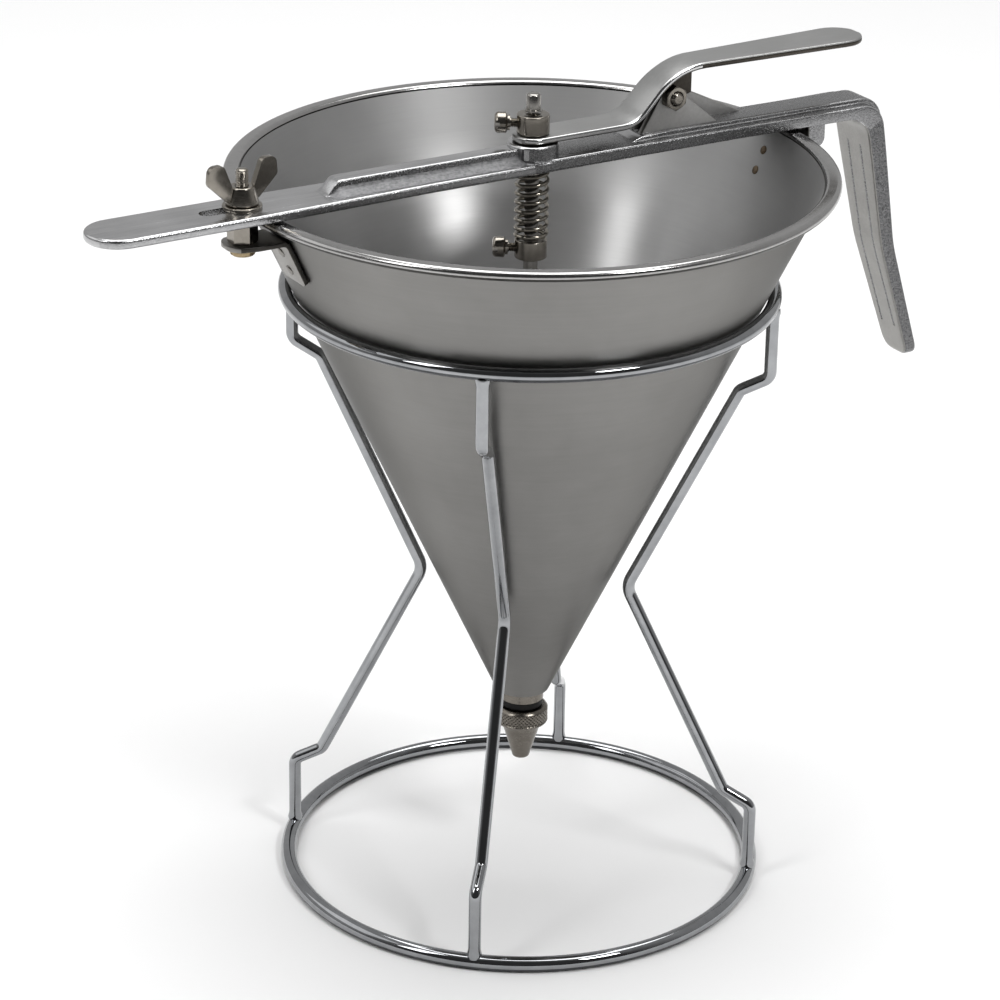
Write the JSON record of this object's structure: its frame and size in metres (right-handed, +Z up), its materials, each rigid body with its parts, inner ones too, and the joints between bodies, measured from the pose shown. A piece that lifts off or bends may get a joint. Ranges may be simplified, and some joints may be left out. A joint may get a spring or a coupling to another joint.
{
  "type": "sauce portion dispenser",
  "caption": "Piston funnel for portioning sauce: steel cone in a wire stand, with a clamped arm and grip, a hinged thumb lever, a sprung plunger and a screwed-on nozzle.",
  "frame": {"origin": "on the funnel's axis, at the plane that the base ring stands on", "axes": "+X along the arm from the rod to the grip, +Z up along the funnel's axis"},
  "size_m": [0.299, 0.19, 0.266],
  "materials": {
    "stand_wire": "bright plated wire",
    "funnel_steel": "satin, brushed round the axis",
    "strap_steel": "satin",
    "arm_casting": "polished casting",
    "lever_steel": "satin with polished edges",
    "rod_steel": "drawn",
    "spring_steel": "drawn wire",
    "plated_fittings": "dull nickel plate",
    "gasket_rubber": "matte"
  },
  "bodies": {
    "stand": {"base_ring": "stand_wire", "top_ring": "stand_wire", "leg_1": "stand_wire", "leg_2": "stand_wire", "leg_3": "stand_wire", "leg_4": "stand_wire"},
    "funnel": {"funnel_cone": "funnel_steel", "outlet_spout": "plated_fittings", "outlet_gasket": "gasket_rubber", "clamp_strap": "strap_steel", "hook_strap": "strap_steel", "clamp_strap_rivets": "strap_steel", "hook_strap_rivets": "strap_steel", "arm": "arm_casting", "clamp_bolt": "plated_fittings", "clamp_spacer_nut": "plated_fittings", "clamp_washer": "plated_fittings", "pivot_bolt": "plated_fittings", "pivot_nut": "plated_fittings", "return_spring": "spring_steel"},
    "nozzle": {"nozzle": "plated_fittings"},
    "wing_nut": {"wing_nut": "plated_fittings"},
    "lever": {"lever": "lever_steel"},
    "plunger": {"plunger_rod": "rod_steel", "plunger_plug": "plated_fittings", "upper_collar": "plated_fittings", "lower_collar": "plated_fittings"},
    "upper_thumb_screw": {"upper_thumb_screw": "plated_fittings"},
    "lower_thumb_screw": {"lower_thumb_screw": "plated_fittings"}
  },
  "joints": [
    {"name": "funnel_lift", "type": "slide", "parent": "stand", "child": "funnel", "axis": [0, 0, 1], "range_m": [0, 0.17]},
    {"name": "nozzle_turn", "type": "hinge", "parent": "funnel", "child": "nozzle", "pos_m": [0, 0, 0.05], "axis": [0, 0, 1], "continuous": true},
    {"name": "wing_nut_turn", "type": "hinge", "parent": "funnel", "child": "wing_nut", "pos_m": [-0.1, 0, 0.25], "axis": [0, 0, 1], "continuous": true},
    {"name": "lever_pivot", "type": "hinge", "parent": "funnel", "child": "lever", "pos_m": [0.0478, 0, 0.2561], "axis": [0, 1, 0], "range_deg": [0, 12]},
    {"name": "plunger_lift", "type": "slide", "parent": "funnel", "child": "plunger", "axis": [0, 0, 1], "range_m": [0, 0.01105], "stiffness_N_per_m": 500, "springref_m": -0.008, "deforming": ["return_spring"]},
    {"name": "upper_screw_turn", "type": "hinge", "parent": "plunger", "child": "upper_thumb_screw", "pos_m": [0, 0, 0.2536], "axis": [-0.848, 0.5299, 0], "continuous": true},
    {"name": "lower_screw_turn", "type": "hinge", "parent": "plunger", "child": "lower_thumb_screw", "pos_m": [0, 0, 0.2133], "axis": [-0.848, 0.5299, 0], "continuous": true}
  ],
  "couplings": [
    {"joint": "lever_pivot", "follows": "plunger_lift", "rad_per_m": 18.9}
  ]
}
